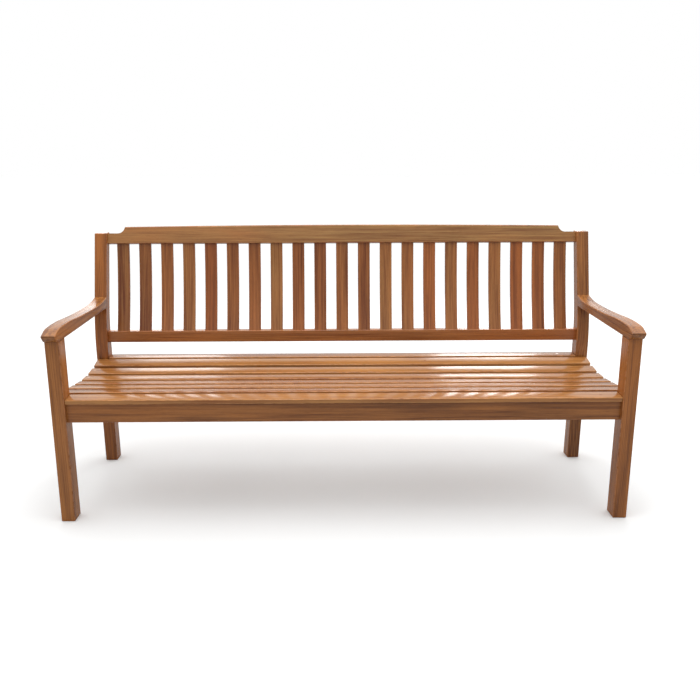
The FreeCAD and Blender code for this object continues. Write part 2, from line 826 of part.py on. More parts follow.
def build_crest_rail():
    """The crest rail in its own upright frame: Y = 0 on its front face and Z = 0 at its foot."""
    name = "crest_rail"
    body = new_body(name)
    half = inner_width / 2
    shoulder = half - dim.crest_shoulder_length
    cove = shoulder - dim.crest_cove
    low = dim.crest_shoulder_height
    high = dim.crest_end_height
    outline = [
        (-half, size(0)),
        (half, size(0)),
        (half, low),
        (shoulder, low),
        (cove, high),
        (-cove, high),
        (-shoulder, low),
        (-half, low),
    ]
    # Each cove is nearly a quarter circle that starts level on its shoulder.
    cove_hollow = dim.crest_cove * 0.27
    bows = {3: cove_hollow, 4: -dim.crest_arch, 5: cove_hollow}
    sketch = new_sketch(body, "rail_outline", "XZ_Plane")
    draw_outline(sketch, outline, bows)
    pad = body.newObject("PartDesign::Pad", "rail")
    pad.Profile = sketch
    pad.Reversed = True
    bind(pad, "Length", dim.crest_thickness)
    doc.recompute()
    along_rail = 2 * cove.value - 1
    for label, radius, is_top in (
        ("lower_edges", dim.rail_rounding, False),
        ("top_edges", dim.crest_rounding, True),
    ):
        dress_edges(
            body,
            label,
            "Fillet",
            radius,
            lambda edge: edge.BoundBox.YLength < SAME
            and edge.BoundBox.XLength > along_rail
            and (edge.CenterOfMass.z > low.value) == is_top,
        )
    middle = dim.crest_thickness / 2
    tenon = rectangle(
        middle - half_tenon,
        middle + half_tenon,
        dim.tenon_shoulder,
        dim.crest_shoulder_height - dim.tenon_shoulder,
    )
    pad_symmetric(body, "tenons", tenon, inner_width + dim.tenon_length * 2)
    opening = first_slat_mortise(size(0))
    pocket = cut_pocket(body, "slat_mortise", opening, "XY_Plane", slat_mortise_depth)
    pattern_slat_mortises(body, pocket)
    place(body, back=crest_front, up=dim.crest_bottom, tilt=-dim.rake)
    nodes[name] = body


# ---- Seat bearers ------------------------------------------------------------------------------


def bearer_outline(slats, bottom, front, front_top, rear_low, rear_high):
    """A board with a flat on its top edge for every slat, between two end lines."""
    outline = [(front, bottom), rear_low, rear_high]
    for slat in reversed(slats):
        outline.extend(reversed(slat.seat_corners()))
    outline.append((front, front_top))
    return outline


def pad_end_tenons(body, front, rear, reach):
    """Tenons at both ends of a board that runs from front to back."""
    for label, low, high in (
        ("front_tenon", front - reach, front + reach),
        ("rear_tenon", rear - reach, rear + reach),
    ):
        tenon = rectangle(low, high, side_tenon_low, side_tenon_high)
        pad_symmetric(body, label, tenon, dim.tenon_thickness)


def round_underside(body, bottom):
    dress_edges(
        body,
        "lower_edges",
        "Fillet",
        dim.rail_rounding,
        lambda edge: runs_along(edge, "Y") and abs(edge.CenterOfMass.z - bottom.value) < SAME,
    )


def build_side_seat_rail(name, side):
    """From front leg to back leg, under the ends of the seat slats."""
    body = new_body(name)
    slats = seat_slats[1:-1]
    bottom = dim.rail_bottom
    front_top = slats[0].seat_corners()[0][1]
    rear_top = slats[-1].seat_corners()[1][1]
    outline = bearer_outline(
        slats,
        bottom,
        dim.front_leg_depth,
        front_top,
        (back_leg_front(bottom), bottom),
        (back_leg_front(rear_top), rear_top),
    )
    pad_symmetric(body, "rail", outline, dim.side_rail_thickness)
    round_underside(body, bottom)
    rear = back_leg_front(side_tenon_low)
    pad_end_tenons(body, dim.front_leg_depth, rear, dim.tenon_length)
    place(body, leg_centre * side)
    drill(name, body, slats)


def build_seat_bearer(name, side):
    """From apron to rear seat rail, under the middle of the seat slats."""
    body = new_body(name)
    front = apron_back
    rear = dim.rear_rail_place
    slats = seat_slats[1:-1]
    outline = bearer_outline(
        slats,
        dim.bearer_bottom,
        front,
        apron_top_back,
        (rear, dim.bearer_bottom),
        (rear, rear_rail_top),
    )
    last_slat_front = seat_slats[-1].seat_corners()[0]
    outline.insert(3, last_slat_front)
    outline.insert(-1, seat_slats[0].seat_corners()[1])
    pad_symmetric(body, "bearer", outline, dim.bearer_thickness)
    round_underside(body, dim.bearer_bottom)
    pad_end_tenons(body, front, rear, dim.stub_length)
    place(body, dim.bearer_place * side)
    drill(name, body, slats)


# ---- Slats -------------------------------------------------------------------------------------


def build_seat_slat(slat):
    """A flat board with all its edges rounded, screwed down through plugged holes."""
    body = new_body(slat.name)
    half = dim.seat_slat_width / 2
    section = rectangle(-half, half, -dim.seat_slat_thickness, size(0))
    if slat.between_legs:
        length = inner_width - dim.seat_end_gap * 2
    else:
        length = dim.overall_width - dim.seat_slat_inset * 2
    pad_symmetric(body, "board", section, length)
    dress_edges(body, "edges", "Fillet", dim.seat_slat_rounding, lambda edge: True)
    place(body, back=slat.place, up=slat.height, tilt=slat.slope)
    drill(slat.name, body, [slat])


def build_back_slat(number):
    """A thin slat that bows backwards between the lower rail and the crest rail."""
    name = f"back_slat_{number:02d}"
    body = new_body(name)
    rail_front = lower_rail.section[0][0]
    rail_top = dim.lower_rail_bottom + dim.lower_rail_height
    front = dim.back_slat_inset
    rear = front + dim.back_slat_thickness
    outline = [
        (rail_front + front, rail_top),
        (rail_front + rear, rail_top),
        on_crest(rear, size(0)),
        on_crest(front, size(0)),
    ]
    bows = {1: -dim.back_slat_bow, 3: dim.back_slat_bow}
    pad_symmetric(body, "slat", outline, dim.back_slat_width, bows)
    long_edge = (dim.crest_bottom - rail_top).value / 2
    dress_edges(
        body,
        "long_edges",
        "Chamfer",
        dim.back_slat_chamfer,
        lambda edge: edge.BoundBox.ZLength > long_edge,
    )
    overlap = dim.slat_tenon_shoulder
    low = rail_front + slat_tenon_inset
    high = low + dim.slat_tenon_thickness
    foot = rectangle(low, high, rail_top - dim.slat_tenon_length, rail_top + overlap)
    head = rectangle(
        slat_tenon_inset, slat_tenon_inset + dim.slat_tenon_thickness, -overlap, dim.slat_tenon_length
    )
    pad_symmetric(body, "foot_tenon", foot, half_slat_tenon * 2)
    head_in_place = [on_crest(back, up) for back, up in head]
    pad_symmetric(body, "head_tenon", head_in_place, half_slat_tenon * 2)
    place(body, first_back_slat + dim.back_slat_pitch * (number - 1))
    nodes[name] = body


# ---- The whole bench ---------------------------------------------------------------------------


def build_bench():
    for label, side in SIDES:
        build_front_leg(f"front_leg_{label}", side)
        build_back_leg(f"back_leg_{label}", side)
        build_arm(f"arm_{label}", side)
        build_side_seat_rail(f"side_seat_rail_{label}", side)
        build_seat_bearer(f"seat_bearer_{label}", side)
    build_front_apron()
    build_rear_seat_rail()
    build_lower_back_rail()
    build_crest_rail()
    for slat in seat_slats:
        build_seat_slat(slat)
    for number in range(1, BACK_SLATS + 1):
        build_back_slat(number)


def check_and_write():
    doc.recompute()
    for thing in doc.Objects:
        faults = [state for state in thing.State if state in ("Invalid", "Error")]
        if faults:
            raise RuntimeError(f"{thing.Label} is {faults}")
    for name, piece in nodes.items():
        if piece.Shape.isNull() or not piece.Shape.isValid() or not piece.Shape.Solids:
            raise RuntimeError(f"{name} has no valid solid")
    os.makedirs("parts", exist_ok=True)
    for name, piece in nodes.items():
        piece.Shape.exportStep(f"parts/{name}.step")
    print(len(nodes), "sub-parts written")


build_bench()
check_and_write()
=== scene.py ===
import dataclasses
import math
import random

import bmesh
import bpy
import numpy
from bpy.props import FloatProperty, FloatVectorProperty, IntProperty, PointerProperty
from mathutils import Matrix, Vector


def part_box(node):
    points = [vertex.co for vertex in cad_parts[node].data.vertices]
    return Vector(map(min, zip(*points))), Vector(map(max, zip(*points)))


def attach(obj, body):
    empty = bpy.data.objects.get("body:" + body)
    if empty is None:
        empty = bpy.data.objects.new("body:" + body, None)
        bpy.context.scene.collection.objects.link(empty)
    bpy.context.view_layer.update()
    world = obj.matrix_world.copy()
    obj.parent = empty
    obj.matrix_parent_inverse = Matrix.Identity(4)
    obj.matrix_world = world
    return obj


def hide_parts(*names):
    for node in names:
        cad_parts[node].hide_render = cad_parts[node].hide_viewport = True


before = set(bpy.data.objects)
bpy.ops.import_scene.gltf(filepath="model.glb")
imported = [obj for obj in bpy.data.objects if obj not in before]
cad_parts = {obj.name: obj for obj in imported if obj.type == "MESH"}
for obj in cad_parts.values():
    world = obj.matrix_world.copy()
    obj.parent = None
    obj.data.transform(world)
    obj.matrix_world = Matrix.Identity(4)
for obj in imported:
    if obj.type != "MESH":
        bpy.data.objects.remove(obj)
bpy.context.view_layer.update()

bl_info = {
    "name": "Garden bench",
    "version": (1, 0, 0),
    "blender": (4, 5, 0),
    "location": "View3D > Sidebar > Bench",
    "description": "Builds the timbers, slats, plugs and finish of a slatted garden bench",
    "category": "Object",
}

BODY = "root"

SEAT_SLAT_COUNT = 8
BACK_SLAT_COUNT = 21
SEAT_SLATS = [f"seat_slat_{number}" for number in range(1, SEAT_SLAT_COUNT + 1)]
BACK_SLATS = [f"back_slat_{number:02d}" for number in range(1, BACK_SLAT_COUNT + 1)]


@dataclasses.dataclass
class Board:
    """How one timber was picked: the way its grain runs, how dark and how golden it is."""

    grain: str
    depth: float
    gold: float


FRAME_TIMBERS = {
    "front_leg_left": Board("Z", 0.22, 0.3),
    "front_leg_right": Board("Z", 0.26, 0.1),
    "back_leg_left": Board("Z", 0.42, 0.0),
    "back_leg_right": Board("Z", 0.42, 0.4),
    "arm_left": Board("Y", 0.42, 0.5),
    "arm_right": Board("Y", 0.38, 0.4),
    "front_apron": Board("X", 0.46, 0.3),
    "rear_seat_rail": Board("X", 0.5, 0.4),
    "side_seat_rail_left": Board("Y", 0.45, 0.4),
    "side_seat_rail_right": Board("Y", 0.5, 0.2),
    "seat_bearer_left": Board("Y", 0.5, 0.2),
    "seat_bearer_right": Board("Y", 0.45, 0.4),
}
BACK_TIMBERS = {
    "lower_back_rail": Board("X", 0.22, 0.5),
    "crest_rail": Board("X", 0.38, 1.45),
}


# ---- What a user can change ---------------------------------------------------------------------


def tone(name, description, default):
    return FloatVectorProperty(
        name=name, description=description, default=default, size=3, min=0, max=1, subtype="COLOR"
    )


class BenchTimberSettings(bpy.types.PropertyGroup):
    frame_light: tone(
        "Frame, light", "Pale wood of the legs, arms and apron", (0.43, 0.143, 0.028)
    )
    frame_dark: tone("Frame, dark", "Dark wood of the legs, arms and apron", (0.15, 0.044, 0.009))
    back_light: tone("Back, light", "Pale wood of the back slats and rails", (0.42, 0.13, 0.033))
    back_dark: tone("Back, dark", "Dark wood of the back slats and rails", (0.16, 0.043, 0.011))
    seat_light: tone("Seat, light", "Pale wood of the seat slats", (0.56, 0.23, 0.06))
    seat_dark: tone("Seat, dark", "Dark wood of the seat slats", (0.26, 0.08, 0.018))
    golden: tone("Golden sapwood", "Tone that some boards turn towards", (0.45, 0.255, 0.088))
    ring_spacing: FloatProperty(
        name="Ring spacing",
        description="Distance between growth rings",
        default=0.0042,
        min=0.001,
        max=0.02,
        unit="LENGTH",
    )
    roughness: FloatProperty(
        name="Roughness",
        description="Roughness of the oiled frame and back",
        default=0.25,
        min=0.05,
        max=1,
        subtype="FACTOR",
    )
    seat_roughness: FloatProperty(
        name="Seat roughness",
        description="Roughness of the seat, which sitting has polished",
        default=0.165,
        min=0.05,
        max=1,
        subtype="FACTOR",
    )
    # How pale the eased edges are painted: partly rubbed wear, partly a painted highlight along
    # the chamfers.
    wear: FloatProperty(
        name="Edge wear and highlight",
        description="How much the eased edges have paled",
        default=0.55,
        min=0,
        max=1,
        subtype="FACTOR",
    )
    seed: IntProperty(
        name="Seed", description="Picks the grain and tone of each board", default=7, min=0
    )


class BenchSlatSettings(bpy.types.PropertyGroup):
    seat_rounding: FloatProperty(
        name="Seat slat rounding",
        description="Radius along the edges of a seat slat",
        default=0.0025,
        min=0.0005,
        max=0.006,
        unit="LENGTH",
    )
    back_rounding: FloatProperty(
        name="Back slat rounding",
        description="Radius along the edges of a back slat",
        default=0.0016,
        min=0.0005,
        max=0.005,
        unit="LENGTH",
    )
    end_rounding: FloatProperty(
        name="End rounding",
        description="Easing of the sawn ends",
        default=0.0012,
        min=0.0003,
        max=0.003,
        unit="LENGTH",
    )
    plug_rise: FloatProperty(
        name="Plug rise",
        description="How far a plug stands over its slat",
        default=0.0002,
        min=0,
        max=0.001,
        unit="LENGTH",
    )


class BenchStageSettings(bpy.types.PropertyGroup):
    camera_place: FloatVectorProperty(
        name="Camera place",
        description="Where the camera stands",
        default=(-0.0295, -2.645, 1.1702),
        size=3,
        subtype="TRANSLATION",
    )
    look_down: FloatProperty(
        name="Look down", description="Tilt of the camera", default=0.2523, subtype="ANGLE"
    )
    look_aside: FloatProperty(
        name="Look aside", description="Turn of the camera", default=0.0066, subtype="ANGLE"
    )
    roll: FloatProperty(
        name="Roll", description="Lean of the camera", default=-0.0035, subtype="ANGLE"
    )
    lens: FloatProperty(
        name="Lens", description="Focal length in millimetres", default=40.5, min=10, max=200
    )
    shift: FloatProperty(
        name="Shift", description="Sideways shift of the view", default=0.0148
    )
    key_power: FloatProperty(
        name="Key light", description="Power of the lamp overhead", default=30, min=0
    )
    window_power: FloatProperty(
        name="Window light", description="Power of each lamp behind the bench", default=11, min=0
    )
    sky_strength: FloatProperty(
        name="Room light", description="Strength of the light all round", default=0.9, min=0
    )


# ---- Node helpers -------------------------------------------------------------------------------


class NodeTree:
    """Adds and joins nodes in a node tree."""

    def __init__(self, tree):
        self.tree = tree

    def add(self, kind, inputs=None, **properties):
        """A node of one kind. Inputs maps each socket's name or number to a value or a socket."""
        node = self.tree.nodes.new(kind)
        for name, value in properties.items():
            setattr(node, name, value)
        for key, value in (inputs or {}).items():
            self.feed(node.inputs[key], value)
        return node

    def feed(self, socket, value):
        """Gives an input a plain value, or joins it to another node's output."""
        if isinstance(value, bpy.types.NodeSocket):
            self.tree.links.new(value, socket)
        else:
            socket.default_value = value

    def maths(self, operation, *values):
        """The result of one sum on numbers or sockets."""
        inputs = dict(enumerate(values))
        return self.add("ShaderNodeMath", inputs, operation=operation).outputs[0]

    def blend(self, factor, first, second):
        """A colour between two colours."""
        node = self.add("ShaderNodeMix", {0: factor}, data_type="RGBA")
        colours = [socket for socket in node.inputs if socket.type == "RGBA"]
        for socket, value in zip(colours, (first, second)):
            self.feed(socket, value)
        return next(socket for socket in node.outputs if socket.type == "RGBA")


def new_group(name, kind, inputs, outputs):
    """An empty node group with named sockets, and the way to fill it."""
    tree = bpy.data.node_groups.new(name, kind)
    for socket_name, socket_type, default in inputs:
        socket = tree.interface.new_socket(
            name=socket_name, in_out="INPUT", socket_type=socket_type
        )
        if default is not None:
            socket.default_value = default
    for socket_name, socket_type in outputs:
        tree.interface.new_socket(name=socket_name, in_out="OUTPUT", socket_type=socket_type)
    nodes = NodeTree(tree)
    return nodes, nodes.add("NodeGroupInput").outputs


def new_material(name):
    """A material without nodes, and the way to fill it."""
    material = bpy.data.materials.new(name)
    material.use_nodes = True
    material.node_tree.nodes.clear()
    return material, NodeTree(material.node_tree)


# ---- Finish -------------------------------------------------------------------------------------

# How fine each mark of the wood is, along the grain, across it and through it, per metre.
STREAKS = (2.6, 95, 95)
PORES = (38, 1500, 1500)
PATCHES = (2.2, 13, 13)
SWAY_ACROSS = (1.3, 7, 7)
SWAY_THROUGH = (0.9, 6, 6)

# How much rings, streaks and patches darken or lighten a board.
RING_SHARE = 0.26
STREAK_SHARE = 2.7
PATCH_SHARE = 1.3


def timber_figure_group():
    """Growth rings, fibre streaks, pores and broad patches of a sawn board."""
    name = "timber_figure"
    if name in bpy.data.node_groups:
        return bpy.data.node_groups[name]
    marks = ("Rings", "Streaks", "Pores", "Patches")
    nodes, given = new_group(
        name,
        "ShaderNodeTree",
        [
            ("Place", "NodeSocketVector", None),
            ("Ring spacing", "NodeSocketFloat", 0.004),
            ("Wander", "NodeSocketFloat", 0.03),
        ],
        [(mark, "NodeSocketFloat") for mark in marks],
    )

    def noise(scale, detail, roughness=0.5):
        stretched = nodes.add("ShaderNodeMapping", {"Vector": given["Place"], "Scale": scale})
        inputs = {
            "Vector": stretched.outputs[0],
            "Scale": 1.0,
            "Detail": detail,
            "Roughness": roughness,
        }
        return nodes.add("ShaderNodeTexNoise", inputs).outputs[0]

    def wandering(value, scale):
        sway = nodes.maths("SUBTRACT", noise(scale, 2), 0.5)
        return nodes.maths("ADD", value, nodes.maths("MULTIPLY", sway, given["Wander"]))

    axes = nodes.add("ShaderNodeSeparateXYZ", {0: given["Place"]}).outputs
    across = wandering(axes[1], SWAY_ACROSS)
    through = wandering(axes[2], SWAY_THROUGH)
    squares = [nodes.maths("MULTIPLY", value, value) for value in (across, through)]
    radius = nodes.maths("SQRT", nodes.maths("ADD", *squares))
    turns = nodes.maths("DIVIDE", radius, given["Ring spacing"])
    wave = nodes.maths("SINE", nodes.maths("MULTIPLY", turns, math.tau))
    rings = nodes.maths("MULTIPLY_ADD", wave, 0.5, 0.5)
    open_pores = nodes.add("ShaderNodeMapRange", {0: noise(PORES, 1), 1: 0.6, 2: 0.7})
    results = (
        nodes.maths("POWER", rings, 1.6),
        noise(STREAKS, 5, 0.68),
        open_pores.outputs[0],
        noise(PATCHES, 2),
    )
    nodes.add("NodeGroupOutput", dict(zip(marks, results)))
    return nodes.tree


def edge_wear_and_highlight_group():
    """Where an eased edge is painted pale: partly rubbed wear, partly a painted highlight along
    its chamfer.
    """
    name = "edge_wear"
    if name in bpy.data.node_groups:
        return bpy.data.node_groups[name]
    nodes, given = new_group(
        name,
        "ShaderNodeTree",
        [
            ("Place", "NodeSocketVector", None),
            ("Edge", "NodeSocketFloat", 0),
            ("Amount", "NodeSocketFloat", 0.5),
        ],
        [("Wear", "NodeSocketFloat")],
    )
    patchy = nodes.add(
        "ShaderNodeTexNoise", {"Vector": given["Place"], "Scale": 45.0, "Detail": 3.0}
    )
    spread = nodes.add("ShaderNodeMapRange", {0: patchy.outputs[0], 1: 0.38, 2: 0.62})
    on_edge = nodes.maths("MULTIPLY", spread.outputs[0], given["Edge"])
    nodes.add("NodeGroupOutput", {"Wear": nodes.maths("MULTIPLY", on_edge, given["Amount"])})
    return nodes.tree


def attribute(nodes, name, output):
    node = nodes.add("ShaderNodeAttribute", attribute_type="GEOMETRY", attribute_name=name)
    return node.outputs[output]


def opaque(colour):
    return (*colour, 1)


def darker(colour, share):
    return opaque(tuple(channel * share for channel in colour))


def timber(name, light, dark, roughness, contrast):
    """An oiled hardwood whose figure follows each board."""
    settings = bpy.context.scene.bench_timber
    material, nodes = new_material(name)
    place = attribute(nodes, "board_place", "Vector")
    board_tone = attribute(nodes, "board_tone", "Fac")
    board_gold = attribute(nodes, "board_gold", "Fac")
    eased = attribute(nodes, "eased_edge", "Fac")
    end_grain = attribute(nodes, "end_grain", "Fac")
    figure = nodes.add(
        "ShaderNodeGroup",
        {"Place": place, "Ring spacing": settings.ring_spacing},
        node_tree=timber_figure_group(),
    ).outputs
    # The eased edges are painted pale: rubbed wear and a painted highlight along the chamfers.
    wear = nodes.add(
        "ShaderNodeGroup",
        {"Place": place, "Edge": eased, "Amount": settings.wear},
        node_tree=edge_wear_and_highlight_group(),
    ).outputs["Wear"]

    depth = board_tone
    shares = {"Rings": RING_SHARE, "Streaks": STREAK_SHARE, "Patches": PATCH_SHARE}
    for mark, share in shares.items():
        swing = nodes.maths("SUBTRACT", figure[mark], 0.5)
        depth = nodes.maths("MULTIPLY_ADD", swing, share * contrast, depth)
    depth = nodes.add("ShaderNodeClamp", {0: depth}).outputs[0]
    gold = nodes.maths("MULTIPLY", nodes.maths("MULTIPLY", board_gold, figure["Patches"]), 1.1)
    pale = nodes.blend(gold, opaque(light), opaque(settings.golden))
    colour = nodes.blend(depth, pale, opaque(dark))
    pores = nodes.maths("MULTIPLY", figure["Pores"], 0.35)
    colour = nodes.blend(pores, colour, darker(dark, 0.55))
    colour = nodes.blend(nodes.maths("MULTIPLY", end_grain, 0.45), colour, darker(dark, 0.75))
    # This pale tone on the eased edges is partly rubbed wear and partly a painted highlight.
    rubbed_and_highlit = tuple(min(channel * 1.25 + 0.03, 1) for channel in light)
    colour = nodes.blend(wear, colour, opaque(rubbed_and_highlit))

    streaks = figure["Streaks"]
    dullness = nodes.maths("MULTIPLY_ADD", streaks, roughness * 0.6, roughness * 0.7)
    dullness = nodes.maths("MULTIPLY_ADD", wear, 0.12, dullness)
    relief = nodes.maths("MULTIPLY_ADD", figure["Pores"], -0.8, streaks)
    bump = nodes.add(
        "ShaderNodeBump", {"Strength": roughness, "Distance": 0.0004, "Height": relief}
    )
    surface = nodes.add(
        "ShaderNodeBsdfPrincipled",
        {"Base Color": colour, "Roughness": dullness, "Normal": bump.outputs[0]},
    )
    nodes.add("ShaderNodeOutputMaterial", {"Surface": surface.outputs[0]})
    return material


def screw_steel(name):
    """Stainless steel, dulled by the drill."""
    material, nodes = new_material(name)
    point = nodes.add("ShaderNodeTexCoord").outputs["Object"]
    haze = nodes.add("ShaderNodeTexNoise", {"Vector": point, "Scale": 900.0})
    roughness = nodes.maths("MULTIPLY_ADD", haze.outputs[0], 0.25, 0.22)
    surface = nodes.add(
        "ShaderNodeBsdfPrincipled",
        {"Base Color": (0.56, 0.56, 0.55, 1), "Metallic": 1.0, "Roughness": roughness},
    )
    nodes.add("ShaderNodeOutputMaterial", {"Surface": surface.outputs[0]})
    return material


# The wood of each slot: its light tone, dark tone and roughness, and how strong its figure is.
WOODS = {
    "frame_wood": ("frame_light", "frame_dark", "roughness", 1.0),
    "back_wood": ("back_light", "back_dark", "roughness", 0.9),
    "seat_wood": ("seat_light", "seat_dark", "seat_roughness", 0.9),
    "plug_wood": ("seat_light", "seat_dark", "seat_roughness", 0.6),
}


def finish_for(slot):
    """The material of one of the record's slots, made the first time it is asked for."""
    known = bpy.data.materials.get(slot)
    if known and "bench_finish" in known:
        return known
    if known:
        known.name = f"{slot}_plain"
    if slot in WOODS:
        *names, contrast = WOODS[slot]
        settings = bpy.context.scene.bench_timber
        material = timber(slot, *(getattr(settings, name) for name in names), contrast)
    elif slot == "screw_steel":
        material = screw_steel(slot)
    else:
        raise ValueError(f"no finish is made for the slot {slot}")
    material["bench_finish"] = True
    return material


# ---- Boards -------------------------------------------------------------------------------------

# The order of a board's own axes for each way of the grain: along it, across it, through it.
BOARD_AXES = {"X": (0, 1, 2), "Y": (1, 0, 2), "Z": (2, 0, 1)}

# A face narrower than this, in metres, is an eased edge.
NARROW_FACE = 0.0036

# A face that looks along the grain at least this squarely is end grain.
END_GRAIN = 0.9

# Angles in degrees: where an edge stays crisp, and what still counts as flat.
SHARP_ANGLE = 30
FLAT_ANGLE = 0.3

# Points closer than this, in metres, are one point.
SAME_PLACE = 1e-6

# Each board is sawn from its own part of the tree, so its grain place starts somewhere in these
# ranges along it, across it and through it, and its own tone lies in the last one.
START_ALONG = (-9, 9)
START_ACROSS = (-0.05, 0.05)
START_THROUGH = (0.03, 0.09)
TONE_RANGE = (0.2, 0.7)
SEEDS_PER_MESH = 1000


def set_values(mesh, name, kind, domain, key, values):
    layer = mesh.attributes.get(name) or mesh.attributes.new(name, kind, domain)
    layer.data.foreach_set(key, values)


def centre_bends(points):
    """For each upright board, the line that its grain follows through lean and bend."""
    bends = {}
    for board, places in points.items():
        heights = [place.z for place in places]
        curve = numpy.polyfit(heights, [place.y for place in places], 3)
        bends[board] = lambda height, curve=curve: float(numpy.polyval(curve, height))
    return bends


def pick_board(places, dice, picked):
    """The middle of a board, where its grain place starts, its tone and its share of gold."""
    offset = tuple(dice.uniform(*span) for span in (START_ALONG, START_ACROSS, START_THROUGH))
    board_tone, board_gold = dice.uniform(*TONE_RANGE), dice.random()
    if picked:
        board_tone, board_gold = picked.depth, picked.gold
    return mean(places), offset, board_tone, board_gold


def mark_boards(mesh, grain, seed, picked=None):
    """Gives each board of a mesh its own grain place and tone, and marks its edges and ends."""
    numbers = mesh.attributes.get("board_number")
    board_of = [item.value for item in numbers.data] if numbers else [0] * len(mesh.vertices)
    axes = BOARD_AXES[grain]
    points = {}
    for vertex, board in zip(mesh.vertices, board_of):
        points.setdefault(board, []).append(vertex.co)
    boards = {
        board: pick_board(places, random.Random(seed * SEEDS_PER_MESH + board), picked)
        for board, places in points.items()
    }
    place_values = []
    tone_values = []
    gold_values = []
    bends = centre_bends(points) if grain == "Z" else {}
    for vertex, board in zip(mesh.vertices, board_of):
        middle, offset, board_tone, board_gold = boards[board]
        own = vertex.co - middle
        if board in bends:
            own.y = vertex.co.y - bends[board](vertex.co.z)
        place_values.extend(own[axis] + shift for axis, shift in zip(axes, offset))
        tone_values.append(board_tone)
        gold_values.append(board_gold)
    set_values(mesh, "board_place", "FLOAT_VECTOR", "POINT", "vector", place_values)
    set_values(mesh, "board_tone", "FLOAT", "POINT", "value", tone_values)
    set_values(mesh, "board_gold", "FLOAT", "POINT", "value", gold_values)

    edges = []
    ends = []
    for face in mesh.polygons:
        corners = [mesh.vertices[index].co for index in face.vertices]
        longest = max((a - b).length for a, b in zip(corners, corners[1:] + corners[:1]))
        edges.append(float(face.area < NARROW_FACE * longest))
        ends.append(float(abs(face.normal[axes[0]]) > END_GRAIN))
    set_values(mesh, "eased_edge", "FLOAT", "FACE", "value", edges)
    set_values(mesh, "end_grain", "FLOAT", "FACE", "value", ends)


def add_object(name, data):
    """An object at the origin that shows a mesh, a lamp or a camera."""
    item = bpy.data.objects.new(name, data)
    bpy.context.scene.collection.objects.link(item)
    return item


def finish_piece(piece, nodes, slot):
    """Gives a piece its shading and finish, and hands it to the frame."""
    mesh = piece.data
    mesh.polygons.foreach_set("use_smooth", [True] * len(mesh.polygons))
    mesh.set_sharp_from_angle(angle=math.radians(SHARP_ANGLE))
    mesh.materials.clear()
    mesh.materials.append(finish_for(slot))
    mesh.polygons.foreach_set("material_index", [0] * len(mesh.polygons))
    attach(piece, BODY)
    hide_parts(*nodes)


def timber_from_part(node, board, slot, seed):
    """A timber of the frame, cleaned up from its design: whole faces and merged corners."""
    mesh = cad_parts[node].data.copy()
    mesh.name = f"{node}_timber"
    shell = bmesh.new()
    shell.from_mesh(mesh)
    bmesh.ops.remove_doubles(shell, verts=shell.verts, dist=SAME_PLACE)
    bmesh.ops.dissolve_limit(
        shell, angle_limit=math.radians(FLAT_ANGLE), verts=shell.verts, edges=shell.edges
    )
    shell.to_mesh(mesh)
    shell.free()
    for left_over in ("custom_normal", "sharp_edge", "sharp_face"):
        if left_over in mesh.attributes:
            mesh.attributes.remove(mesh.attributes[left_over])
    mark_boards(mesh, board.grain, seed, board)
    finish_piece(add_object(f"{node}_timber", mesh), [node], slot)


# ---- Slats and plugs ----------------------------------------------------------------------------

ALONG_SEAT = Vector((1, 0, 0))

# How squarely a face looks a given way, and how much it has to look upwards to be a slat's top.
SAME_WAY = 0.995
UPWARD = 0.5

# Lengths in metres: what still lies in a slat's end face, how far apart its two faces are at
# least, how far a back slat is let into its rails, and what still belongs to a fixing's top.
FLUSH = 1e-5
OTHER_FACE = 0.004
LET_IN = 0.006
RIM = 1e-4

# How finely a bow, a board's corners, a round fixing and a sawn end are divided.
BOW_STEPS = 25
CORNER_STEPS = 4
ROUND_STEPS = 16
END_STEPS = 2

# Only corners sharper than this many degrees are eased at a sawn end.
SAWN_CORNER = 60

# Each kind of board draws its grain from its own seed.
SEAT_SEED = 40
BACK_SEED = 60
PLUG_SEED = 80


def end_of_row(nodes, points, shape, material, **stretched):
    """Sets a shape on every point, numbers the copies, makes them real and gives them a finish."""
    turn = nodes.add("GeometryNodeInputNamedAttribute", {0: "turn"}, data_type="FLOAT_VECTOR")
    rotation = nodes.add("FunctionNodeEulerToRotation", {0: turn.outputs[0]}).outputs[0]
    placed = nodes.add(
        "GeometryNodeInstanceOnPoints",
        {"Points": points, "Instance": shape, "Rotation": rotation, **stretched},
    )
    number = nodes.add("GeometryNodeInputIndex").outputs[0]
    numbered = nodes.add(
        "GeometryNodeStoreNamedAttribute",
        {"Geometry": placed.outputs[0], "Name": "board_number", "Value": number},
        data_type="INT",
        domain="INSTANCE",
    )
    real = nodes.add("GeometryNodeRealizeInstances", {0: numbered.outputs[0]})
    finished = nodes.add(
        "GeometryNodeSetMaterial", {"Geometry": real.outputs[0], "Material": material}
    )
    nodes.add("NodeGroupOutput", {0: finished.outputs[0]})


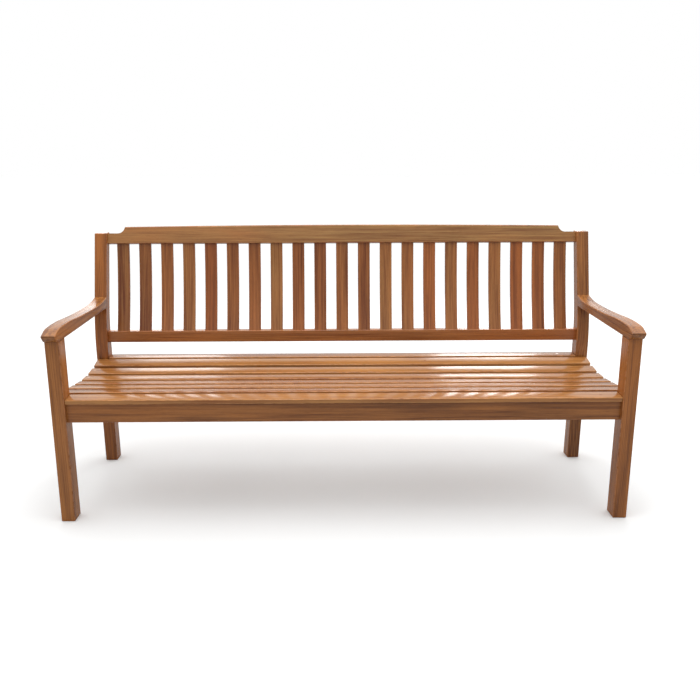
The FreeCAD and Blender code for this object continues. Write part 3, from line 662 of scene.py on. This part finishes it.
def board_row_tree():
    """Sawn boards on a row of points: a rounded section swept along a line that may bow."""
    name = "board_row"
    if name in bpy.data.node_groups:
        return bpy.data.node_groups[name]
    nodes, given = new_group(
        name,
        "GeometryNodeTree",
        [
            ("Points", "NodeSocketGeometry", None),
            ("Length", "NodeSocketFloat", 1),
            ("Width", "NodeSocketFloat", 0.05),
            ("Thickness", "NodeSocketFloat", 0.015),
            ("Rounding", "NodeSocketFloat", 0.002),
            ("Bow", "NodeSocketFloat", 0),
            ("Steps", "NodeSocketInt", 2),
            ("Material", "NodeSocketMaterial", None),
        ],
        [("Boards", "NodeSocketGeometry")],
    )
    half = nodes.maths("DIVIDE", given["Length"], 2)
    start = nodes.add("ShaderNodeCombineXYZ", {0: nodes.maths("MULTIPLY", half, -1)}).outputs[0]
    end = nodes.add("ShaderNodeCombineXYZ", {0: half}).outputs[0]
    line = nodes.add(
        "GeometryNodeMeshLine",
        {"Count": given["Steps"], "Start Location": start, "Offset": end},
        mode="END_POINTS",
    )
    position = nodes.add("GeometryNodeInputPosition").outputs[0]
    along = nodes.add("ShaderNodeSeparateXYZ", {0: position}).outputs[0]
    share = nodes.maths("DIVIDE", along, half)
    fall = nodes.maths("SUBTRACT", 1, nodes.maths("MULTIPLY", share, share))
    lift = nodes.add("ShaderNodeCombineXYZ", {2: nodes.maths("MULTIPLY", given["Bow"], fall)})
    bowed = nodes.add(
        "GeometryNodeSetPosition", {"Geometry": line.outputs[0], "Offset": lift.outputs[0]}
    )
    path = nodes.add("GeometryNodeMeshToCurve", {0: bowed.outputs[0]})
    upright = nodes.add("GeometryNodeSetCurveNormal", {0: path.outputs[0]}, mode="Z_UP")
    section = nodes.add(
        "GeometryNodeCurvePrimitiveQuadrilateral",
        {"Width": given["Width"], "Height": given["Thickness"]},
    )
    rounded = nodes.add(
        "GeometryNodeFilletCurve",
        {"Curve": section.outputs[0], "Radius": given["Rounding"], "Count": CORNER_STEPS},
        mode="POLY",
    )
    swept = nodes.add(
        "GeometryNodeCurveToMesh",
        {"Curve": upright.outputs[0], "Profile Curve": rounded.outputs[0], "Fill Caps": True},
    )
    stretch = nodes.add("GeometryNodeInputNamedAttribute", {0: "stretch"}, data_type="FLOAT")
    scale = nodes.add("ShaderNodeCombineXYZ", {0: stretch.outputs[0], 1: 1.0, 2: 1.0})
    end_of_row(
        nodes, given["Points"], swept.outputs[0], given["Material"], Scale=scale.outputs[0]
    )
    return nodes.tree


def fixing_tree():
    """Round fixings on a row of points: a shank that may widen to a head."""
    name = "fixing_row"
    if name in bpy.data.node_groups:
        return bpy.data.node_groups[name]
    nodes, given = new_group(
        name,
        "GeometryNodeTree",
        [
            ("Points", "NodeSocketGeometry", None),
            ("Head radius", "NodeSocketFloat", 0.005),
            ("Neck radius", "NodeSocketFloat", 0.005),
            ("Head height", "NodeSocketFloat", 0.004),
            ("Shank length", "NodeSocketFloat", 0),
            ("Material", "NodeSocketMaterial", None),
        ],
        [("Fixings", "NodeSocketGeometry")],
    )
    head = nodes.add(
        "GeometryNodeMeshCone",
        {
            "Vertices": ROUND_STEPS,
            "Radius Top": given["Head radius"],
            "Radius Bottom": given["Neck radius"],
            "Depth": given["Head height"],
        },
    )
    shank = nodes.add(
        "GeometryNodeMeshCylinder",
        {
            "Vertices": ROUND_STEPS,
            "Radius": given["Neck radius"],
            "Depth": given["Shank length"],
        },
    )
    below = nodes.maths("MULTIPLY", given["Shank length"], -0.5)
    shank_place = nodes.add("ShaderNodeCombineXYZ", {2: below}).outputs[0]
    lowered = nodes.add(
        "GeometryNodeTransform", {"Geometry": shank.outputs[0], "Translation": shank_place}
    )
    has_shank = nodes.add(
        "FunctionNodeCompare", {0: given["Shank length"], 1: 0.0}, operation="GREATER_THAN"
    )
    kept = nodes.add(
        "GeometryNodeSwitch",
        {"Switch": has_shank.outputs[0], "True": lowered.outputs[0]},
        input_type="GEOMETRY",
    )
    joined = nodes.add("GeometryNodeJoinGeometry", {0: head.outputs[0]})
    nodes.feed(joined.inputs[0], kept.outputs[0])
    down = nodes.maths("MULTIPLY", given["Head height"], -1)
    drop = nodes.add("ShaderNodeCombineXYZ", {2: down}).outputs[0]
    hung = nodes.add(
        "GeometryNodeTransform", {"Geometry": joined.outputs[0], "Translation": drop}
    )
    end_of_row(nodes, given["Points"], hung.outputs[0], given["Material"])
    return nodes.tree


def point_row(name, places, turns, stretches=None):
    """A mesh of bare points that carries how each board or fixing is turned and stretched."""
    mesh = bpy.data.meshes.new(name)
    mesh.from_pydata(places, [], [])
    flat_turns = [angle for turn in turns for angle in turn]
    set_values(mesh, "turn", "FLOAT_VECTOR", "POINT", "vector", flat_turns)
    set_values(mesh, "stretch", "FLOAT", "POINT", "value", stretches or [1.0] * len(places))
    return mesh


def mesh_seen(item, name):
    """The plain mesh that an object's modifiers make of it. The modifiers are then removed."""
    bpy.context.view_layer.update()
    seen = item.evaluated_get(bpy.context.evaluated_depsgraph_get())
    mesh = bpy.data.meshes.new_from_object(seen)
    mesh.name = name
    item.modifiers.clear()
    return mesh


def grown_from(tree, row, name, inputs):
    """The mesh that a node tree makes from a row of points."""
    grower = add_object(f"{name}_grower", row)
    modifier = grower.modifiers.new("rows", "NODES")
    modifier.node_group = tree
    sockets = {
        item.name: item.identifier
        for item in tree.interface.items_tree
        if item.item_type == "SOCKET" and item.in_out == "INPUT"
    }
    for socket, value in inputs.items():
        modifier[sockets[socket]] = value
    mesh = mesh_seen(grower, name)
    bpy.data.objects.remove(grower)
    if not mesh.polygons:
        raise RuntimeError(f"{name} came out empty")
    return mesh


def ease_ends(piece, width):
    """Rounds the sawn ends of the boards."""
    easing = piece.modifiers.new("end_rounding", "BEVEL")
    easing.width = width
    easing.segments = END_STEPS
    easing.limit_method = "ANGLE"
    easing.angle_limit = math.radians(SAWN_CORNER)
    piece.data = mesh_seen(piece, piece.name)


def turn_from(along, across):
    """Euler angles of a board whose length and width point the given ways."""
    x_axis = along.normalized()
    z_axis = x_axis.cross(across).normalized()
    y_axis = z_axis.cross(x_axis)
    return Matrix((x_axis, y_axis, z_axis)).transposed().to_euler("XYZ")


def faces_towards(node, way):
    """The faces of a CAD node that look the given way."""
    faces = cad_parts[node].data.polygons
    return [face for face in faces if face.normal.dot(way) > SAME_WAY]


def broadest(node, way):
    """The largest face of a CAD node that looks the given way."""
    return max(faces_towards(node, way), key=lambda face: face.area)


def nearest(node, way, point):
    """The face of a CAD node that looks the given way and lies nearest to a point."""
    return min(faces_towards(node, way), key=lambda face: (face.center - point).length)


def distance(face, other, way):
    """How far apart two faces lie, measured the given way."""
    return (face.center - other.center).dot(way)


class SeatSlat:
    """Where a seat slat lies, which way its top faces, and how long, wide and thick it is."""

    def __init__(self, node):
        low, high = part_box(node)
        self.middle = (low + high) / 2
        upper = (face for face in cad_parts[node].data.polygons if face.normal.z > UPWARD)
        self.up = max(upper, key=lambda face: face.area).normal.copy()
        across = self.up.cross(ALONG_SEAT)
        self.turn = turn_from(ALONG_SEAT, across)
        self.length = high.x - low.x
        self.width = distance(broadest(node, across), broadest(node, -across), across)
        self.thickness = distance(broadest(node, self.up), broadest(node, -self.up), self.up)


class BackSlat:
    """The bowed centre line of a back slat, and how wide and thick it is."""

    def __init__(self, node):
        low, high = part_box(node)
        points = [vertex.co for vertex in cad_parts[node].data.vertices]
        side = sorted((point for point in points if high.x - point.x < FLUSH), key=lambda p: p.z)
        foot = centre_at(side)
        head = centre_at(side[::-1])
        self.halfway = (foot + head) / 2
        self.chord = head - foot
        out = ALONG_SEAT.cross(self.chord).normalized()
        middle = centre_at(sorted(side, key=lambda point: abs(point.z - self.halfway.z)))
        self.bow = (middle - foot).dot(out)
        self.turn = turn_from(self.chord, out.cross(self.chord))
        self.width = high.x - low.x
        self.thickness = distance(nearest(node, out, middle), nearest(node, -out, middle), out)


def centre_at(points):
    """Halfway between the first point and the first one on the other face of the slat."""
    first = points[0]
    other = next(point for point in points if abs(point.y - first.y) > OTHER_FACE)
    return (first + other) / 2


def mean(points):
    return sum(points, Vector()) / len(points)


def solids_of(node):
    """The corner points of each separate solid of a CAD node."""
    shell = bmesh.new()
    shell.from_mesh(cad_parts[node].data)
    bmesh.ops.remove_doubles(shell, verts=shell.verts, dist=SAME_PLACE)
    solids = []
    left = set(shell.verts)
    while left:
        found = []
        reached = [left.pop()]
        while reached:
            vertex = reached.pop()
            found.append(vertex.co.copy())
            for edge in vertex.link_edges:
                other = edge.other_vert(vertex)
                if other in left:
                    left.remove(other)
                    reached.append(other)
        solids.append(found)
    shell.free()
    return solids


def slat_around(solid, slats):
    """The seat slat that a fixing goes through."""
    return min(slats, key=lambda slat: abs(slat.middle.y - mean(solid).y))


def fixing_sizes(solid, normal):
    """Height along its axis, widest radius and narrowest radius of a round fixing."""
    middle = mean(solid)
    heights = [(point - middle).dot(normal) for point in solid]
    radii = [((point - middle) - normal * height).length for point, height in zip(solid, heights)]
    return max(heights) - min(heights), max(radii), min(radii)


def solid_top(solid, normal):
    """Where a fixing's axis meets its top."""
    heights = [point.dot(normal) for point in solid]
    top = max(heights)
    return mean([point for point, height in zip(solid, heights) if top - height < RIM])


# ---- Operators ----------------------------------------------------------------------------------


class BENCH_OT_frame(bpy.types.Operator):
    """Build the legs, arms, apron, rails and bearers"""

    bl_idname = "bench.frame_timbers"
    bl_label = "Frame timbers"
    bl_options = {"REGISTER", "UNDO"}

    def execute(self, context):
        seed = context.scene.bench_timber.seed
        for number, (node, board) in enumerate(FRAME_TIMBERS.items()):
            timber_from_part(node, board, "frame_wood", seed + number)
        return {"FINISHED"}


class BENCH_OT_back_rails(bpy.types.Operator):
    """Build the crest rail and the lower back rail"""

    bl_idname = "bench.back_rails"
    bl_label = "Back rails"
    bl_options = {"REGISTER", "UNDO"}

    def execute(self, context):
        seed = context.scene.bench_timber.seed + len(FRAME_TIMBERS)
        for number, (node, board) in enumerate(BACK_TIMBERS.items()):
            timber_from_part(node, board, "back_wood", seed + number)
        return {"FINISHED"}


class BENCH_OT_seat_slats(bpy.types.Operator):
    """Build the eight slats of the seat"""

    bl_idname = "bench.seat_slats"
    bl_label = "Seat slats"
    bl_options = {"REGISTER", "UNDO"}

    def execute(self, context):
        settings = context.scene.bench_slats
        slats = [SeatSlat(node) for node in SEAT_SLATS]
        longest = max(slat.length for slat in slats)
        row = point_row(
            "seat_row",
            [slat.middle for slat in slats],
            [slat.turn for slat in slats],
            [slat.length / longest for slat in slats],
        )
        mesh = grown_from(
            board_row_tree(),
            row,
            "seat_slats",
            {
                "Length": longest,
                "Width": slats[0].width,
                "Thickness": slats[0].thickness,
                "Rounding": settings.seat_rounding,
                "Material": finish_for("seat_wood"),
            },
        )
        piece = add_object("seat_slats", mesh)
        ease_ends(piece, settings.end_rounding)
        mark_boards(piece.data, "X", context.scene.bench_timber.seed + SEAT_SEED)
        finish_piece(piece, SEAT_SLATS, "seat_wood")
        return {"FINISHED"}


class BENCH_OT_back_slats(bpy.types.Operator):
    """Build the thin bowed slats of the back"""

    bl_idname = "bench.back_slats"
    bl_label = "Back slats"
    bl_options = {"REGISTER", "UNDO"}

    def execute(self, context):
        slat = BackSlat(BACK_SLATS[0])
        places = []
        for node in BACK_SLATS:
            low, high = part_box(node)
            places.append(Vector(((low.x + high.x) / 2, slat.halfway.y, slat.halfway.z)))
        row = point_row("back_row", places, [slat.turn] * len(places))
        mesh = grown_from(
            board_row_tree(),
            row,
            "back_slats",
            {
                "Length": slat.chord.length + 2 * LET_IN,
                "Width": slat.width,
                "Thickness": slat.thickness,
                "Rounding": context.scene.bench_slats.back_rounding,
                "Bow": slat.bow,
                "Steps": BOW_STEPS,
                "Material": finish_for("back_wood"),
            },
        )
        mark_boards(mesh, "Z", context.scene.bench_timber.seed + BACK_SEED)
        finish_piece(add_object("back_slats", mesh), BACK_SLATS, "back_wood")
        return {"FINISHED"}


class BENCH_OT_fixings(bpy.types.Operator):
    """Build the screws of the seat slats and the plugs over them"""

    bl_idname = "bench.fixings"
    bl_label = "Screws and plugs"
    bl_options = {"REGISTER", "UNDO"}

    def execute(self, context):
        slats = [SeatSlat(node) for node in SEAT_SLATS]
        rise = context.scene.bench_slats.plug_rise
        for node, slot, lift in (
            ("seat_screw_plugs", "plug_wood", rise),
            ("seat_screws", "screw_steel", 0),
        ):
            solids = solids_of(node)
            around = [slat_around(solid, slats) for solid in solids]
            places = [
                solid_top(solid, slat.up) + slat.up * lift for solid, slat in zip(solids, around)
            ]
            row = point_row(f"{node}_row", places, [slat.turn for slat in around])
            height, wide, narrow = fixing_sizes(solids[0], around[0].up)
            is_plug = slot == "plug_wood"
            head_height = height if is_plug else wide - narrow
            mesh = grown_from(
                fixing_tree(),
                row,
                node,
                {
                    "Head radius": wide,
                    "Neck radius": wide if is_plug else narrow,
                    "Head height": head_height,
                    "Shank length": height - head_height,
                    "Material": finish_for(slot),
                },
            )
            mark_boards(mesh, "X", context.scene.bench_timber.seed + PLUG_SEED)
            finish_piece(add_object(f"{node}_set", mesh), [node], slot)
        return {"FINISHED"}


class BENCH_OT_stage(bpy.types.Operator):
    """Build the floor, the lights and the camera"""

    bl_idname = "bench.stage"
    bl_label = "Stage"
    bl_options = {"REGISTER", "UNDO"}

    def execute(self, context):
        settings = context.scene.bench_stage
        build_floor()
        build_sky(settings.sky_strength)
        build_lamp("key", KEY_LAMP, settings.key_power)
        build_lamp("window_left", WINDOW_LEFT, settings.window_power)
        build_lamp("window_right", WINDOW_RIGHT, settings.window_power)
        build_camera(settings)
        context.scene.view_settings.view_transform = "Standard"
        return {"FINISHED"}


# ---- Stage --------------------------------------------------------------------------------------


@dataclasses.dataclass
class SoftBox:
    """A lamp: where it stands, the point it faces, its width and height, its share of power."""

    place: tuple
    target: tuple
    size: tuple
    share: float = 1


KEY_LAMP = SoftBox((0.2, -0.2, 3.0), (0, 0.05, 0.4), (2.6, 1.4))
WINDOW_LEFT = SoftBox((-1.5, 3.2, 1.5), (-0.675, 0, 0.4), (0.85, 1.0), 0.6)
WINDOW_RIGHT = SoftBox((1.35, 3.2, 1.5), (0.6075, 0, 0.4), (0.85, 1.0), 1.25)

# The paper floor looks nearly white, and throws less of its light back up under the bench.
FLOOR_HALF = 30
FLOOR_PAPER = (0.86, 0.87, 0.87)
FLOOR_BOUNCE = (0.45, 0.45, 0.45)
FLOOR_GLOW = 0.04

# The room is brighter behind the bench than in front of it, and brightest overhead.
FRONT_LIGHT = 0.45
BEHIND_LIGHT = 0.95
OVERHEAD_LIGHT = 1.2

WHITE = (1, 1, 1, 1)
SENSOR_WIDTH = 36


def build_floor():
    half = FLOOR_HALF
    mesh = bpy.data.meshes.new("floor")
    corners = [(-half, -half, 0), (half, -half, 0), (half, half, 0), (-half, half, 0)]
    mesh.from_pydata(corners, [], [(0, 1, 2, 3)])
    material, nodes = new_material("floor_paper")
    seen = nodes.add("ShaderNodeLightPath").outputs["Is Camera Ray"]
    surface = nodes.add(
        "ShaderNodeBsdfPrincipled",
        {
            "Base Color": nodes.blend(seen, opaque(FLOOR_BOUNCE), opaque(FLOOR_PAPER)),
            "Roughness": 0.9,
            "Specular IOR Level": 0.0,
            "Emission Color": WHITE,
            "Emission Strength": nodes.maths("MULTIPLY", seen, FLOOR_GLOW),
        },
    )
    nodes.add("ShaderNodeOutputMaterial", {"Surface": surface.outputs[0]})
    mesh.materials.append(material)
    add_object("floor", mesh)


def build_sky(strength):
    """Soft light from all round, against a white background."""
    world = bpy.data.worlds.new("room")
    world.use_nodes = True
    world.node_tree.nodes.clear()
    nodes = NodeTree(world.node_tree)
    way = nodes.add("ShaderNodeTexCoord").outputs["Generated"]
    axes = nodes.add("ShaderNodeSeparateXYZ", {0: way}).outputs
    behind = nodes.add(
        "ShaderNodeMapRange", {0: axes[1], 1: -0.3, 2: 0.7, 3: FRONT_LIGHT, 4: BEHIND_LIGHT}
    )
    above = nodes.add(
        "ShaderNodeMapRange", {0: axes[2], 1: 0.3, 2: 1.0, 3: 0.0, 4: OVERHEAD_LIGHT}
    )
    level = nodes.maths("ADD", behind.outputs[0], above.outputs[0])
    light = nodes.add(
        "ShaderNodeBackground", {0: WHITE, 1: nodes.maths("MULTIPLY", level, strength)}
    )
    paper = nodes.add("ShaderNodeBackground", {0: WHITE, 1: 1.0})
    seen = nodes.add("ShaderNodeLightPath").outputs["Is Camera Ray"]
    shown = nodes.add("ShaderNodeMixShader", {0: seen, 1: light.outputs[0], 2: paper.outputs[0]})
    nodes.add("ShaderNodeOutputWorld", {0: shown.outputs[0]})
    bpy.context.scene.world = world


def build_lamp(name, box, power):
    data = bpy.data.lights.new(name, "AREA")
    data.shape = "RECTANGLE"
    data.size, data.size_y = box.size
    data.energy = power * box.share
    lamp = add_object(name, data)
    facing = Vector(box.target) - Vector(box.place)
    turn = facing.to_track_quat("-Z", "Y").to_matrix().to_4x4()
    lamp.matrix_world = Matrix.Translation(box.place) @ turn
    lamp.visible_camera = False


def build_camera(settings):
    data = bpy.data.cameras.new("camera")
    data.lens = settings.lens
    data.sensor_width = SENSOR_WIDTH
    data.shift_x = settings.shift
    camera = add_object("camera", data)
    camera.matrix_world = (
        Matrix.Translation(settings.camera_place)
        @ Matrix.Rotation(-settings.look_aside, 4, "Z")
        @ Matrix.Rotation(math.pi / 2 - settings.look_down, 4, "X")
        @ Matrix.Rotation(settings.roll, 4, "Z")
    )
    bpy.context.scene.camera = camera


# ---- Add-on -------------------------------------------------------------------------------------


class BENCH_PT_sidebar(bpy.types.Panel):
    """Lists the building steps and their settings"""

    bl_label = "Garden bench"
    bl_idname = "BENCH_PT_sidebar"
    bl_space_type = "VIEW_3D"
    bl_region_type = "UI"
    bl_category = "Bench"

    def draw(self, context):
        column = self.layout.column()
        for operator in OPERATORS:
            column.operator(operator.bl_idname)
        for name, group in GROUPS.items():
            box = column.box()
            for entry in group.__annotations__:
                box.prop(getattr(context.scene, name), entry)


OPERATORS = (
    BENCH_OT_frame,
    BENCH_OT_back_rails,
    BENCH_OT_seat_slats,
    BENCH_OT_back_slats,
    BENCH_OT_fixings,
    BENCH_OT_stage,
)
GROUPS = {
    "bench_timber": BenchTimberSettings,
    "bench_slats": BenchSlatSettings,
    "bench_stage": BenchStageSettings,
}
CLASSES = (*GROUPS.values(), *OPERATORS, BENCH_PT_sidebar)


def register():
    for entry in CLASSES:
        bpy.utils.register_class(entry)
    for name, group in GROUPS.items():
        setattr(bpy.types.Scene, name, PointerProperty(type=group))


def unregister():
    for name in GROUPS:
        delattr(bpy.types.Scene, name)
    for entry in reversed(CLASSES):
        bpy.utils.unregister_class(entry)


def main():
    register()
    bpy.ops.bench.frame_timbers()
    bpy.ops.bench.back_rails()
    bpy.ops.bench.seat_slats()
    bpy.ops.bench.back_slats()
    bpy.ops.bench.fixings()
    bpy.ops.bench.stage()


if __name__ == "__main__":
    main()
